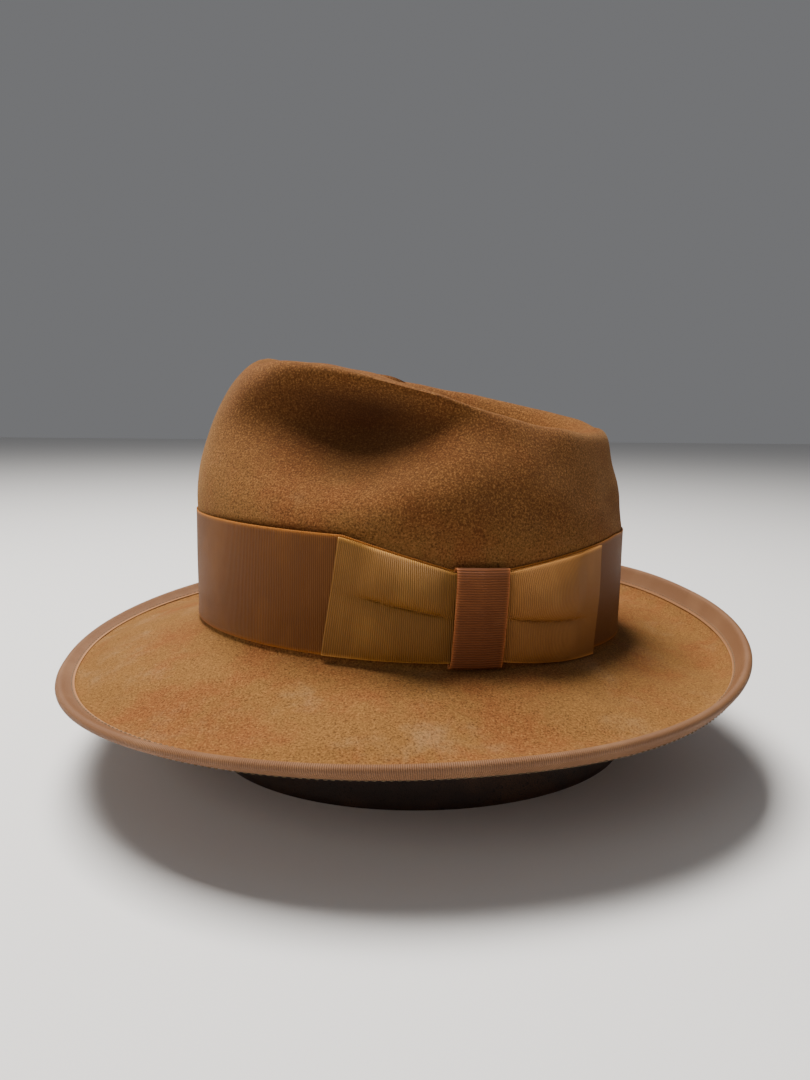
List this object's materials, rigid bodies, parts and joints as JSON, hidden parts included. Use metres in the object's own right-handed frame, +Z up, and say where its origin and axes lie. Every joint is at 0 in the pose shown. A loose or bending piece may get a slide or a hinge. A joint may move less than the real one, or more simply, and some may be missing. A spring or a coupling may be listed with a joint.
{
  "type": "fedora hat",
  "caption": "Felt fedora with a pinched teardrop crown, a wide ribbon and side bow, a bound snap brim, and its leather sweatband turned down.",
  "frame": {"origin": "under the middle of the brim, on the plane that the edge of the turned-down sweatband stands on", "axes": "+X from the front of the hat to its rear, +Y from the bow side (wearer's left) to the other side, +Z up"},
  "size_m": [0.3084, 0.2909, 0.1796],
  "materials": {
    "felt": "brushed fur felt, worn",
    "band_ribbon": "grosgrain, ribs upright, soft sheen",
    "bow_ribbon": "grosgrain, ribs upright, soft sheen",
    "knot_ribbon": "grosgrain, ribs level, soft sheen",
    "binding_ribbon": "fine grosgrain, ribs across the edge",
    "thread": "twisted thread",
    "sweatband_leather": "smooth, aged",
    "reed_tape": "woven tape",
    "reed": "smooth",
    "lining_satin": "satin"
  },
  "bodies": {
    "hat": {"felt_body": "felt", "brim_binding": "binding_ribbon", "binding_top_thread": "thread", "binding_under_thread": "thread", "hat_band": "band_ribbon", "bow_front_wing": "bow_ribbon", "bow_rear_wing": "bow_ribbon", "bow_knot": "knot_ribbon", "sweatband": "sweatband_leather", "sweatband_thread": "thread", "sweatband_seam_thread": "thread", "sweatband_reed": "reed", "reed_tape": "reed_tape", "rear_bow_ribbon": "band_ribbon", "rear_bow_knot": "band_ribbon", "lining_side": "lining_satin", "lining_tip": "lining_satin", "lining_piping": "lining_satin"},
    "brim_front": {"felt_brim_front": "felt", "brim_binding_front": "binding_ribbon", "binding_top_thread_front": "thread", "binding_under_thread_front": "thread"}
  },
  "joints": [
    {"name": "brim_snap", "type": "hinge", "parent": "hat", "child": "brim_front", "pos_m": [-0.103, 0, 0.061], "axis": [0, 1, 0], "range_deg": [0, 40]}
  ]
}
